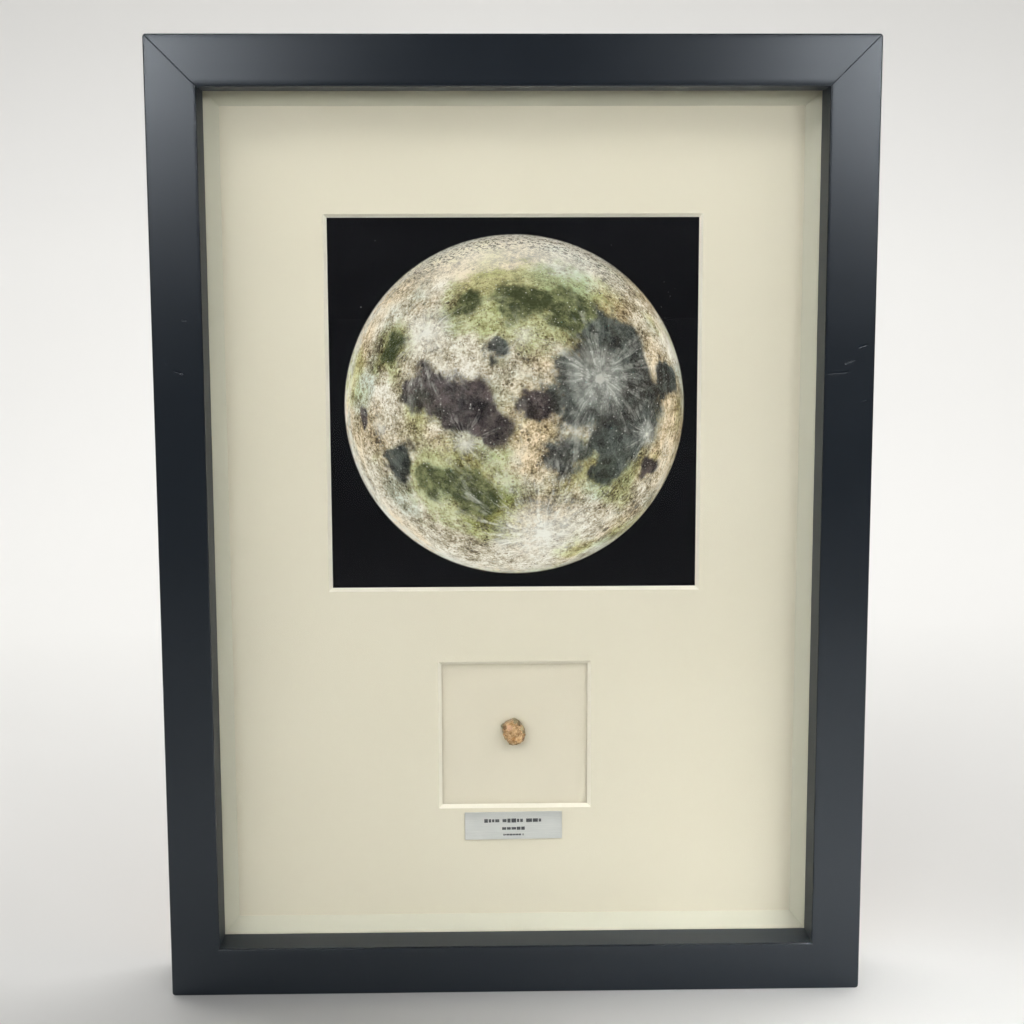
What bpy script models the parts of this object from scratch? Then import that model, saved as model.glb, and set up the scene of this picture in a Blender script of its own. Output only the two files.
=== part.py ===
"""Framed lunar meteorite: a small stone and a moon print behind glass in a deep box frame.

Metres, +Z up. The frame stands on its bottom edge and its glass looks towards -Y. The origin is
at the middle of the underside of the whole object's box. Depths run from the front of the frame.
"""

import math

import bmesh
import bpy
from mathutils import Matrix, Vector, noise

# The frame
FRAME_WIDTH = 0.240
FRAME_HEIGHT = 0.326
RAIL_WIDTH = 0.0168
RAIL_DEPTH = 0.032
RAIL_WALL = 0.012
LIP_DEPTH = 0.014
OUTER_ROUND = 0.0014
LIP_ROUND = 0.0006
BACK_ROUND = 0.0005
CORNER_CUT = 0.0005

# The stack inside it, from front to back
GAP = 0.0003
GLASS_THICKNESS = 0.002
LINER_DEPTH = 0.0039
LINER_INSET = 0.00435
MAT_THICKNESS = 0.0014
PRINT_THICKNESS = 0.0004
BOARD_THICKNESS = 0.0015
PANEL_THICKNESS = 0.003

# The windows in the mat: middle height and size at the back of the bevel
WINDOW_BEVEL = 0.0012
MOON_WINDOW_Z = 0.2040
MOON_WINDOW_WIDTH = 0.1270
MOON_WINDOW_HEIGHT = 0.1278
STONE_WINDOW_Z = 0.0869
STONE_WINDOW_WIDTH = 0.0516
STONE_WINDOW_HEIGHT = 0.0509
PRINT_MARGIN = 0.005

# The label plate below the small window
LABEL_X = -0.0006
LABEL_Z = 0.0539
LABEL_WIDTH = 0.0346
LABEL_HEIGHT = 0.0100
LABEL_THICKNESS = 0.0005
LABEL_TILT = math.radians(-0.5)

# The stone: middle, reach towards the glass, depth of its middle, and outline seen from the front
STONE_X = -0.0006
STONE_Z = 0.0882
STONE_FRONT = 0.0031
STONE_BACK = 0.0019
STONE_SHOULDER = 0.62
STONE_CROWN = 0.72
STONE_RIM_SHARE = 0.25
STONE_RELIEF = ((2.1, 0.00055), (4.7, 0.00035), (11.0, 0.00015))
STONE_OUTLINE = (
    (-0.00432, 0.00202),
    (-0.00325, 0.00283),
    (-0.00268, 0.00352),
    (-0.00144, 0.00398),
    (0.00049, 0.00471),
    (0.00139, 0.00436),
    (0.00263, 0.00311),
    (0.00355, 0.00197),
    (0.00415, 0.00055),
    (0.00414, -0.00211),
    (0.00375, -0.00328),
    (0.00261, -0.00407),
    (0.00137, -0.00454),
    (-0.00122, -0.00444),
    (-0.00178, -0.00370),
    (-0.00270, -0.00264),
    (-0.00348, -0.00099),
    (-0.00393, 0.00062),
    (-0.00403, 0.00156),
)

# The flat steel points that hold the back panel
POINT_LENGTH_OUT = 0.008
POINT_LENGTH_IN = 0.005
POINT_WIDTH = 0.006
POINT_THICKNESS = 0.0006
SIDE_POINT_HEIGHTS = (0.060, 0.163, 0.266)
END_POINT_PLACES = (-0.060, 0.060)

# The sawtooth hanger and its two screws, on the back of the top rail
HANGER_LENGTH = 0.045
HANGER_HEIGHT = 0.009
HANGER_THICKNESS = 0.0008
HANGER_LIFT = 0.0012
HANGER_FLAT = 0.0125
HANGER_RAMP = 0.003
HANGER_ROUND = 0.0015
TOOTH_COUNT = 10
TOOTH_PITCH = 0.0023
TOOTH_DEPTH = 0.0014
SCREW_PLACE = 0.019
SCREW_HEAD_RADIUS = 0.0023
SCREW_HEAD_FLAT = 0.0009
SCREW_HEAD_HEIGHT = 0.0012
SCREW_RADIUS = 0.001
SCREW_LENGTH = 0.008
SCREW_TIP = 0.0015
SCREW_SLOT_WIDTH = 0.0006
SCREW_SLOT_DEPTH = 0.0005

# Depths that follow from the sizes above
GLASS_FRONT = LIP_DEPTH + GAP
LINER_FRONT = GLASS_FRONT + GLASS_THICKNESS + GAP
MAT_FRONT = LINER_FRONT + LINER_DEPTH + GAP
PRINT_FRONT = MAT_FRONT + MAT_THICKNESS + GAP
BOARD_FRONT = PRINT_FRONT + PRINT_THICKNESS + GAP
PANEL_FRONT = BOARD_FRONT + BOARD_THICKNESS + GAP
POINT_FRONT = PANEL_FRONT + PANEL_THICKNESS + GAP
HANGER_FRONT = RAIL_DEPTH + GAP
SCREW_SEAT = HANGER_FRONT + HANGER_THICKNESS + GAP
TOTAL_DEPTH = SCREW_SEAT + SCREW_HEAD_HEIGHT
FRONT_Y = -TOTAL_DEPTH / 2
INNER_WIDTH = FRAME_WIDTH - 2 * RAIL_WALL - 2 * GAP
INNER_HEIGHT = FRAME_HEIGHT - 2 * RAIL_WALL - 2 * GAP
MIDDLE_Z = FRAME_HEIGHT / 2

INTO_FRAME = Vector((0, 1, 0))
WELD = 1e-6


def clear_scene():
    for obj in list(bpy.data.objects):
        bpy.data.objects.remove(obj, do_unlink=True)


def new_collection(name):
    collection = bpy.data.collections.new(name)
    bpy.context.scene.collection.children.link(collection)
    return collection


def material(name, colour, roughness, metallic=0.0, transmission=0.0):
    made = bpy.data.materials.new(name)
    made.use_nodes = True
    shader = made.node_tree.nodes["Principled BSDF"]
    shader.inputs["Base Color"].default_value = (*colour, 1)
    shader.inputs["Roughness"].default_value = roughness
    shader.inputs["Metallic"].default_value = metallic
    shader.inputs["Transmission Weight"].default_value = transmission
    return made


def place(name, mesh, collection, matrix=None):
    obj = bpy.data.objects.new(name, mesh)
    collection.objects.link(obj)
    if matrix is not None:
        obj.matrix_world = matrix
    return obj


def box_mesh(name, size):
    mesh = bpy.data.meshes.new(name)
    bm = bmesh.new()
    bmesh.ops.create_cube(bm, size=1, matrix=Matrix.Diagonal((*size, 1)))
    bm.to_mesh(mesh)
    bm.free()
    return mesh


def sheet(name, width, height, thickness, front, middle=(0, MIDDLE_Z)):
    """A flat piece that faces the glass, with its front at the given depth."""
    centre = Vector((middle[0], FRONT_Y + front + thickness / 2, middle[1]))
    mesh = box_mesh(name, (width, thickness, height))
    return place(name, mesh, parts, Matrix.Translation(centre))


def cut(obj, cutter):
    cutter.hide_render = True
    cutter.display_type = "WIRE"
    boolean = obj.modifiers.new(cutter.name, "BOOLEAN")
    boolean.operation = "DIFFERENCE"
    boolean.solver = "EXACT"
    boolean.object = cutter


def arc(centre, radius, start, end, steps):
    """Points on an arc, both ends included. The angles are in degrees."""
    angles = (math.radians(start + (end - start) * i / steps) for i in range(steps + 1))
    return [(centre[0] + radius * math.cos(a), centre[1] + radius * math.sin(a)) for a in angles]


def extruded(name, outlines, thickness):
    """A closed mesh from flat outlines in its own XY plane, as thick as asked along its Z."""
    curve = bpy.data.curves.new(name, "CURVE")
    curve.dimensions = "2D"
    curve.fill_mode = "BOTH"
    curve.extrude = thickness / 2
    for outline in outlines:
        spline = curve.splines.new("POLY")
        spline.points.add(len(outline) - 1)
        for point, (x, y) in zip(spline.points, outline):
            point.co = (x, y, 0, 1)
        spline.use_cyclic_u = True
    flat = bpy.data.objects.new(name, curve)
    bpy.context.scene.collection.objects.link(flat)
    bpy.context.view_layer.update()
    evaluated = flat.evaluated_get(bpy.context.evaluated_depsgraph_get())
    mesh = bpy.data.meshes.new_from_object(evaluated)
    bpy.data.objects.remove(flat)
    bpy.data.curves.remove(curve)
    bm = bmesh.new()
    bm.from_mesh(mesh)
    bmesh.ops.remove_doubles(bm, verts=bm.verts, dist=WELD)
    bm.to_mesh(mesh)
    bm.free()
    mesh.name = name
    return mesh


def slice_off(bm, point, normal):
    """Removes what lies beyond a plane and closes the cut."""
    everything = bm.verts[:] + bm.edges[:] + bm.faces[:]
    made = bmesh.ops.bisect_plane(
        bm, geom=everything, dist=WELD, plane_co=point, plane_no=normal, clear_outer=True
    )
    rim = [item for item in made["geom_cut"] if isinstance(item, bmesh.types.BMEdge)]
    bmesh.ops.edgeloop_fill(bm, edges=rim)


def mitred_bar(name, profile, length):
    """A bar along Z with both ends mitred. Profile X runs inwards from the long side, and Y back."""
    mesh = extruded(name, [profile], length)
    bm = bmesh.new()
    bm.from_mesh(mesh)
    for end in (-1, 1):
        tip = end * (length / 2 - GAP / math.sqrt(2))
        slice_off(bm, (0, 0, tip), Vector((1, 0, end)).normalized())
        shoulder = end * (length / 2 - CORNER_CUT)
        slice_off(bm, (0, 0, shoulder), Vector((-1, 0, end)).normalized())
    bmesh.ops.recalc_face_normals(bm, faces=bm.faces)
    bm.to_mesh(mesh)
    bm.free()
    return mesh


def side_matrix(inward, corner):
    """Local X runs into the frame from the given outer side, and local Y runs from front to back."""
    inward = Vector(inward)
    along = inward.cross(INTO_FRAME)
    turn = Matrix((inward, INTO_FRAME, along)).transposed().to_4x4()
    return Matrix.Translation(Vector(corner)) @ turn


SIDES = {
    "bottom": ((0, 0, 1), (0, FRONT_Y, 0), FRAME_WIDTH),
    "top": ((0, 0, -1), (0, FRONT_Y, FRAME_HEIGHT), FRAME_WIDTH),
    "left": ((1, 0, 0), (-FRAME_WIDTH / 2, FRONT_Y, MIDDLE_Z), FRAME_HEIGHT),
    "right": ((-1, 0, 0), (FRAME_WIDTH / 2, FRONT_Y, MIDDLE_Z), FRAME_HEIGHT),
}


def rail_profile():
    outer = arc((OUTER_ROUND, OUTER_ROUND), OUTER_ROUND, 180, 270, 5)
    lip = arc((RAIL_WIDTH - LIP_ROUND, LIP_ROUND), LIP_ROUND, 270, 360, 3)
    back = [
        (RAIL_WIDTH, LIP_DEPTH),
        (RAIL_WALL, LIP_DEPTH),
        (RAIL_WALL, RAIL_DEPTH),
        (BACK_ROUND, RAIL_DEPTH),
        (0, RAIL_DEPTH - BACK_ROUND),
    ]
    return outer + lip + back


def liner_profile():
    """A strip of board in the rebate, whose inner face slopes from the lip down to the mat."""
    back = LINER_FRONT + LINER_DEPTH
    return [
        (RAIL_WALL + GAP, LINER_FRONT),
        (RAIL_WIDTH, LINER_FRONT),
        (RAIL_WIDTH + LINER_INSET, back),
        (RAIL_WALL + GAP, back),
    ]


def make_bars():
    """The four rails and the four liner strips. Returns the rails by side."""
    black = material("black_satin_paint", (0.010, 0.016, 0.024), 0.38)
    cream = material("liner_paper", (0.68, 0.66, 0.56), 0.85)
    rails = {}
    for side, (inward, corner, length) in SIDES.items():
        matrix = side_matrix(inward, corner)
        rail_name = "rail_" + side
        rails[side] = place(rail_name, mitred_bar(rail_name, rail_profile(), length), parts, matrix)
        rails[side].data.materials.append(black)
        liner_name = "liner_" + side
        liner = place(liner_name, mitred_bar(liner_name, liner_profile(), length), parts, matrix)
        liner.data.materials.append(cream)
    return rails


def make_glass():
    glass = sheet("glass_pane", INNER_WIDTH, INNER_HEIGHT, GLASS_THICKNESS, GLASS_FRONT)
    glass.data.materials.append(material("clear_glass", (1, 1, 1), 0.02, transmission=1.0))


def window_cutter(name, middle_z, width, height):
    """A flared block, from a mat's thickness in front of the mat to as far behind it."""
    mesh = box_mesh(name, (1, 3 * MAT_THICKNESS, 1))
    for vertex in mesh.vertices:
        flare = 2 * WINDOW_BEVEL if vertex.co.y < 0 else -WINDOW_BEVEL
        vertex.co.x = math.copysign(width / 2 + flare, vertex.co.x)
        vertex.co.z = math.copysign(height / 2 + flare, vertex.co.z)
    centre = Vector((0, FRONT_Y + MAT_FRONT + MAT_THICKNESS / 2, middle_z))
    return place(name, mesh, cutters, Matrix.Translation(centre))


def make_mat():
    mat = sheet("mat_board", INNER_WIDTH, INNER_HEIGHT, MAT_THICKNESS, MAT_FRONT)
    mat.data.materials.append(material("mat_paper", (0.74, 0.71, 0.58), 0.9))
    cut(mat, window_cutter("moon_window", MOON_WINDOW_Z, MOON_WINDOW_WIDTH, MOON_WINDOW_HEIGHT))
    cut(mat, window_cutter("stone_window", STONE_WINDOW_Z, STONE_WINDOW_WIDTH, STONE_WINDOW_HEIGHT))


def make_sheets():
    """The moon print, the board behind it, the panel that closes the back, and the label plate."""
    print_width = MOON_WINDOW_WIDTH + 2 * PRINT_MARGIN
    print_height = MOON_WINDOW_HEIGHT + 2 * PRINT_MARGIN
    moon = sheet(
        "moon_print", print_width, print_height, PRINT_THICKNESS, PRINT_FRONT, (0, MOON_WINDOW_Z)
    )
    moon.data.materials.append(material("print_paper", (0.30, 0.27, 0.22), 0.5))
    board = sheet("backing_board", INNER_WIDTH, INNER_HEIGHT, BOARD_THICKNESS, BOARD_FRONT)
    board.data.materials.append(material("board_paper", (0.70, 0.66, 0.54), 0.9))
    panel = sheet("back_panel", INNER_WIDTH, INNER_HEIGHT, PANEL_THICKNESS, PANEL_FRONT)
    panel.data.materials.append(material("fibreboard", (0.30, 0.19, 0.10), 0.8))
    label_front = MAT_FRONT - GAP - LABEL_THICKNESS
    label = sheet(
        "label_plate", LABEL_WIDTH, LABEL_HEIGHT, LABEL_THICKNESS, label_front, (LABEL_X, LABEL_Z)
    )
    label.rotation_euler.y = LABEL_TILT
    label.data.materials.append(material("silver_plate", (0.62, 0.65, 0.63), 0.4, metallic=0.7))


def outline_radius(angle):
    """Distance from the stone's middle to its outline, between the outline's points by angle."""
    corners = sorted((math.atan2(z, x), math.hypot(x, z)) for x, z in STONE_OUTLINE)
    first, last = corners[0], corners[-1]
    turn = 2 * math.pi
    ring = [(last[0] - turn, last[1]), *corners, (first[0] + turn, first[1])]
    for (low, near), (high, far) in zip(ring, ring[1:]):
        if low <= angle <= high:
            share = (angle - low) / (high - low)
            return near + (far - near) * share
    return near


def stone_surface(direction):
    """The stone's surface in a direction from its middle, where -Y looks at the glass."""
    angle = math.atan2(direction.z, direction.x)
    flat = math.hypot(direction.x, direction.z)
    front = -direction.y
    relief = sum(noise.noise(direction * detail) * height for detail, height in STONE_RELIEF)
    reach = outline_radius(angle) * flat**STONE_SHOULDER + relief * STONE_RIM_SHARE
    depth = STONE_FRONT * math.copysign(abs(front) ** STONE_CROWN, front) + relief
    depth = max(min(depth, STONE_FRONT), -STONE_BACK)
    return Vector((math.cos(angle) * reach, -depth, math.sin(angle) * reach))


def make_stone():
    mesh = bpy.data.meshes.new("meteorite")
    bm = bmesh.new()
    bmesh.ops.create_icosphere(bm, subdivisions=5, radius=1)
    for vertex in bm.verts:
        vertex.co = stone_surface(vertex.co.normalized())
    bm.to_mesh(mesh)
    bm.free()
    mesh.shade_smooth()
    middle = Vector((STONE_X, FRONT_Y + BOARD_FRONT - GAP - STONE_BACK, STONE_Z))
    stone = place("meteorite", mesh, parts, Matrix.Translation(middle))
    stone.data.materials.append(material("tan_breccia", (0.42, 0.27, 0.14), 0.85))


def point_outline():
    """A steel tab: sharp where it is driven into the rail, and round where it holds the panel."""
    half = POINT_WIDTH / 2
    shoulder = -POINT_LENGTH_IN + half
    round_end = arc((POINT_LENGTH_OUT - half, 0), half, -90, 90, 8)
    return [(-POINT_LENGTH_IN, 0), (shoulder, -half), *round_end, (shoulder, half)]


def make_point(name, rail, inward, foot):
    """One point, and the slot for it in the rail. The foot is where it leaves the rail's wall."""
    inward = Vector(inward)
    across = INTO_FRAME.cross(inward)
    turn = Matrix((inward, across, INTO_FRAME)).transposed().to_4x4()
    middle = Vector(foot) + INTO_FRAME * (FRONT_Y + POINT_FRONT + POINT_THICKNESS / 2)
    matrix = Matrix.Translation(middle) @ turn
    point = place(name, extruded(name, [point_outline()], POINT_THICKNESS), parts, matrix)
    point.data.materials.append(steel)
    slot_size = (2 * (POINT_LENGTH_IN + GAP), POINT_WIDTH + 2 * GAP, POINT_THICKNESS + 2 * GAP)
    cut(rail, place(name + "_slot", box_mesh(name, slot_size), cutters, matrix))


def make_points(rails):
    for side, sign in (("left", 1), ("right", -1)):
        wall = -sign * (FRAME_WIDTH / 2 - RAIL_WALL)
        for number, height in enumerate(SIDE_POINT_HEIGHTS, 1):
            make_point(f"point_{side}_{number}", rails[side], (sign, 0, 0), (wall, 0, height))
    for side, sign, wall in (("bottom", 1, RAIL_WALL), ("top", -1, FRAME_HEIGHT - RAIL_WALL)):
        for number, across in enumerate(END_POINT_PLACES, 1):
            make_point(f"point_{side}_{number}", rails[side], (0, 0, sign), (across, 0, wall))


def hanger_outline():
    half_length = HANGER_LENGTH / 2
    half_height = HANGER_HEIGHT / 2
    start = -TOOTH_COUNT * TOOTH_PITCH / 2
    teeth = []
    for tooth in range(TOOTH_COUNT):
        left = start + tooth * TOOTH_PITCH
        teeth += [(left, -half_height), (left + TOOTH_PITCH / 2, -half_height + TOOTH_DEPTH)]
    teeth.append((-start, -half_height))
    x, y = half_length - HANGER_ROUND, half_height - HANGER_ROUND
    return [
        *arc((-x, -y), HANGER_ROUND, 180, 270, 4),
        *teeth,
        *arc((x, -y), HANGER_ROUND, 270, 360, 4),
        *arc((x, y), HANGER_ROUND, 0, 90, 4),
        *arc((-x, y), HANGER_ROUND, 90, 180, 4),
    ]


def make_hanger(top_rail):
    """A steel strip with teeth, pressed so that its middle stands clear of the rail."""
    hole_radius = SCREW_RADIUS + GAP
    holes = [arc((x, 0), hole_radius, 0, 345, 23) for x in (-SCREW_PLACE, SCREW_PLACE)]
    mesh = extruded("sawtooth_hanger", [hanger_outline(), *holes], HANGER_THICKNESS)
    bm = bmesh.new()
    bm.from_mesh(mesh)
    for x in (-HANGER_FLAT - HANGER_RAMP, -HANGER_FLAT, HANGER_FLAT, HANGER_FLAT + HANGER_RAMP):
        everything = bm.verts[:] + bm.edges[:] + bm.faces[:]
        bmesh.ops.bisect_plane(bm, geom=everything, dist=WELD, plane_co=(x, 0, 0), plane_no=(1, 0, 0))
    for vertex in bm.verts:
        if abs(vertex.co.x) < HANGER_FLAT + HANGER_RAMP / 2:
            vertex.co.z -= HANGER_LIFT
    bm.to_mesh(mesh)
    bm.free()
    height = FRAME_HEIGHT - RAIL_WALL / 2
    facing_back = Matrix.Rotation(math.pi / 2, 4, "X")
    middle = Vector((0, FRONT_Y + HANGER_FRONT + HANGER_THICKNESS / 2, height))
    hanger = place("sawtooth_hanger", mesh, parts, Matrix.Translation(middle) @ facing_back)
    hanger.data.materials.append(steel)
    for side, x in (("left", -SCREW_PLACE), ("right", SCREW_PLACE)):
        make_screw("hanger_screw_" + side, top_rail, (x, FRONT_Y + SCREW_SEAT, height))


def make_screw(name, rail, seat):
    """A slotted screw along the object's Y, and the hole for it in the rail."""
    flat, round_part = SCREW_HEAD_FLAT, SCREW_HEAD_RADIUS - SCREW_HEAD_FLAT
    dome = [(flat + round_part * x, SCREW_HEAD_HEIGHT * z) for x, z in arc((0, 0), 1, 90, 0, 6)]
    shank = [(SCREW_RADIUS, 0), (SCREW_RADIUS, SCREW_TIP - SCREW_LENGTH), (0, -SCREW_LENGTH)]
    profile = [(0, SCREW_HEAD_HEIGHT), *dome, *shank]
    mesh = bpy.data.meshes.new(name)
    mesh.from_pydata(
        [(x, 0, z) for x, z in profile], [(i, i + 1) for i in range(len(profile) - 1)], []
    )
    pointing_back = Matrix.Rotation(-math.pi / 2, 4, "X")
    matrix = Matrix.Translation(Vector(seat)) @ pointing_back
    screw = place(name, mesh, parts, matrix)
    turned = screw.modifiers.new("turned", "SCREW")
    turned.axis = "Z"
    turned.steps = 24
    turned.render_steps = 24
    turned.use_merge_vertices = True
    turned.merge_threshold = WELD
    screw.data.materials.append(steel)
    slot_size = (4 * SCREW_HEAD_RADIUS, SCREW_SLOT_WIDTH, 2 * SCREW_SLOT_DEPTH)
    slot_matrix = matrix @ Matrix.Translation((0, 0, SCREW_HEAD_HEIGHT))
    cut(screw, place(name + "_slot", box_mesh(name, slot_size), cutters, slot_matrix))
    hole = bpy.data.meshes.new(name + "_hole")
    bm = bmesh.new()
    bmesh.ops.create_cone(
        bm,
        cap_ends=True,
        segments=24,
        radius1=SCREW_RADIUS + GAP,
        radius2=SCREW_RADIUS + GAP,
        depth=2 * (SCREW_LENGTH + GAP),
    )
    bm.to_mesh(hole)
    bm.free()
    cut(rail, place(name + "_hole", hole, cutters, matrix))


clear_scene()
parts = new_collection("framed_lunar_meteorite")
cutters = new_collection("cutters")
cutters.hide_render = True
steel = material("zinc_plated_steel", (0.55, 0.56, 0.58), 0.35, metallic=1.0)
rail_by_side = make_bars()
make_glass()
make_mat()
make_sheets()
make_stone()
make_points(rail_by_side)
make_hanger(rail_by_side["top"])
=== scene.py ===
"""The looks of the framed lunar meteorite: paint, paper, print, stone, glass, light and camera.

Metres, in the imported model's frame: +Z up, the glass looks towards -Y, and the frame stands on
z = 0. Depths run back from the front of the frame, and "inwards" runs from a rail's outer side.
"""

import math
import random

import bmesh
import bpy
from mathutils import Matrix, Vector, noise


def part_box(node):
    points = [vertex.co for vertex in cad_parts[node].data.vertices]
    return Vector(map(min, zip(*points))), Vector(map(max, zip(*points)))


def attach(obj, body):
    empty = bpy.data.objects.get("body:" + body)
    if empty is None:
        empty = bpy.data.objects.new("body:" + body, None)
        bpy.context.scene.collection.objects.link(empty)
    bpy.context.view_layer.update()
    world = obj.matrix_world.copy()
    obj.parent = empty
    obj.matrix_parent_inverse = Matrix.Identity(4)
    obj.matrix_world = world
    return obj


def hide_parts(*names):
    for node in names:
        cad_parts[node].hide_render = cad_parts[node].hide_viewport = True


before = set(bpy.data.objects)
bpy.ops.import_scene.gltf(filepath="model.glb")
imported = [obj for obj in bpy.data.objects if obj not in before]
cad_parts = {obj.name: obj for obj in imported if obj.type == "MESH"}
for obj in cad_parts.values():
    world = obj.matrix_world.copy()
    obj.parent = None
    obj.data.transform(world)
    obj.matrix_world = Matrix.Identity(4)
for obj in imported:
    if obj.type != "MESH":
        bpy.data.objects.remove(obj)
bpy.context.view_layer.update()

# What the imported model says
RAIL_LOW, RAIL_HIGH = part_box("rail_left")
GLASS_LOW, GLASS_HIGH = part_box("glass_pane")
MAT_LOW, MAT_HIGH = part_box("mat_board")
LINER_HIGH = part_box("liner_left")[1]
PRINT_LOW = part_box("moon_print")[0]
LABEL_LOW, LABEL_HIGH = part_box("label_plate")
STONE_LOW, STONE_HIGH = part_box("meteorite")
LABEL_MIDDLE = (LABEL_LOW + LABEL_HIGH) / 2
STONE_MIDDLE = (STONE_LOW + STONE_HIGH) / 2
GAP = 0.0003
FRONT_Y = RAIL_LOW.y
HALF_WIDTH = -RAIL_LOW.x
FRAME_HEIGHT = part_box("rail_top")[1].z
MIDDLE_Z = FRAME_HEIGHT / 2
RAIL_WIDTH = RAIL_HIGH.x - RAIL_LOW.x
RAIL_DEPTH = RAIL_HIGH.y - RAIL_LOW.y
RAIL_WALL = GLASS_LOW.x - GAP + HALF_WIDTH
LIP_DEPTH = GLASS_LOW.y - GAP - FRONT_Y

# The moulding
OUTER_ROUND = 0.0005
LIP_ROUND = 0.0006
BACK_ROUND = 0.0005
CORNER_ROUND = 0.0011
REBATE_CUT = 0.0002
MITRE_GAP = {"top": 0.00003, "bottom": 0.00001}
MITRE_GROOVE = 0.00005
SHARP_ANGLE = math.radians(35)
# Distances from a rail's end at which its outline is repeated, then the step along the middle
END_RINGS = (0, 0.00012, 0.00025, 0.0004, 0.0006, 0.0009, 0.0013, 0.002, 0.004)
RING_STEP = 0.004
FACE_STEP = {"plain": 0.002, "marked": 0.00025}
GRAIN_STRETCH = 0.06

# Dents and scratches on the side rails: start and end (x, z), half width, depth, bare share
LEFT_MARKS = (
    ((-0.1099, 0.2342), (-0.1086, 0.2339), 0.00020, 0.00003, 0.10),
    ((-0.10957, 0.2309), (-0.1100, 0.2276), 0.00018, 0.00002, 0.02),
    ((-0.1100, 0.2276), (-0.11039, 0.2253), 0.00016, 0.00002, 0.01),
    ((-0.1129, 0.2174), (-0.1100, 0.2164), 0.00026, 0.00004, 0.0),
    ((-0.1108, 0.2164), (-0.1102, 0.2166), 0.00012, 0.00002, 0.30),
    ((-0.1156, 0.2197), (-0.1155, 0.2197), 0.00014, 0.0, 0.25),
)
RIGHT_MARKS = (
    ((0.1149, 0.2245), (0.1169, 0.2251), 0.00026, 0.00005, 0.0),
    ((0.1103, 0.21915), (0.1130, 0.2201), 0.00028, 0.00009, 0.06),
    ((0.1047, 0.2156), (0.1111, 0.2162), 0.00028, 0.00004, 0.0),
    ((0.1160, 0.2066), (0.1180, 0.2070), 0.00022, 0.00003, 0.0),
)
# The part of a rail's upper half that carries them, and the step there, as shares of that half
MARKS_SPAN = (0.24, 0.50)
MARKS_STEP = 0.0016

# The liners: edge, bow of the face and the finest clearances
LINER_EDGE = 0.00025
LINER_BOW = 0.00006
LINER_RINGS = 60
LINER_CLEAR_OF_GLASS = 0.00005
LINER_CLEAR_OF_MAT = 0.00002
LINER_CLEAR_AT_MITRE = 0.00003

# The mat's windows: middle height, and size at the back of the bevel
WINDOWS = ((0.2040, 0.1270, 0.1278), (0.0869, 0.0516, 0.0509))
WINDOW_BEVEL = 0.0012

# The label plate
LABEL_SIZE = (0.0346, 0.0100)
LABEL_TILT = math.radians(-0.5)
LABEL_CLEARANCE = 0.0001
LABEL_EDGE = 0.00012
# The plate's upper right corner lifts a little: where that starts, and how much
LABEL_CURL_START = 0.55
LABEL_CURL = 0.0005
# Rows of plain dashes: height above the plate's middle, full width, dash height
LABEL_ROWS = ((0.0019, 0.0207, 0.0015), (-0.0010, 0.0081, 0.0012), (-0.0033, 0.0072, 0.0007))
DASH_THICKNESS = 0.00004


def srgb(red, green, blue):
    """A colour as seen, 0 to 255, in Blender's linear values."""
    values = (value / 255 for value in (red, green, blue))
    return tuple(v / 12.92 if v <= 0.04045 else ((v + 0.055) / 1.055) ** 2.4 for v in values)


# The printed moon: its middle (x, z) and radius, then shares of that radius
MOON_MIDDLE = (0.00025, 0.2035)
MOON_RADIUS = 0.0587
# Dark seas: place across and up, and size. Neighbours run together.
SEAS = {
    "slate": (
        (0.60, 0.36, 0.25),
        (0.42, 0.12, 0.26),
        (0.74, 0.04, 0.24),
        (0.60, -0.26, 0.20),
        (0.30, -0.30, 0.14),
        (-0.68, -0.32, 0.12),
        (-0.10, 0.32, 0.10),
        (0.90, 0.16, 0.12),
    ),
    "olive": (
        (0.30, 0.58, 0.18),
        (0.02, 0.62, 0.15),
        (-0.26, 0.60, 0.13),
        (-0.24, -0.52, 0.17),
        (-0.46, -0.46, 0.13),
        (-0.72, 0.34, 0.10),
    ),
    "dusk": (
        (-0.32, 0.02, 0.19),
        (-0.56, 0.08, 0.15),
        (-0.14, -0.14, 0.14),
        (0.12, 0.02, 0.13),
        (0.80, -0.36, 0.09),
        (-0.90, -0.06, 0.07),
    ),
}
# Young craters: place across and up, reach of the rays, streaks, strength
RAY_CRATERS = (
    (0.16, -0.76, 0.95, 8.0, 0.95),
    (0.50, 0.16, 0.66, 6.5, 0.55),
    (-0.52, 0.44, 0.55, 8.5, 0.85),
    (-0.30, -0.22, 0.24, 9.5, 0.75),
    (0.78, -0.16, 0.26, 9.5, 0.80),
    (-0.80, -0.12, 0.22, 9.0, 0.70),
    (0.06, 0.42, 0.20, 9.0, 0.70),
)
HIGHLAND_STOPS = (
    (0.26, srgb(58, 50, 38)),
    (0.40, srgb(112, 102, 80)),
    (0.50, srgb(168, 158, 132)),
    (0.60, srgb(206, 198, 174)),
    (0.74, srgb(244, 242, 230)),
)
WARM_TINT = srgb(255, 236, 208)
GREEN_TINT = srgb(220, 232, 176)
COOL_TINT = srgb(220, 238, 242)
MOSS_TINT = srgb(196, 206, 150)
RAY_COLOUR = srgb(242, 242, 230)

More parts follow.
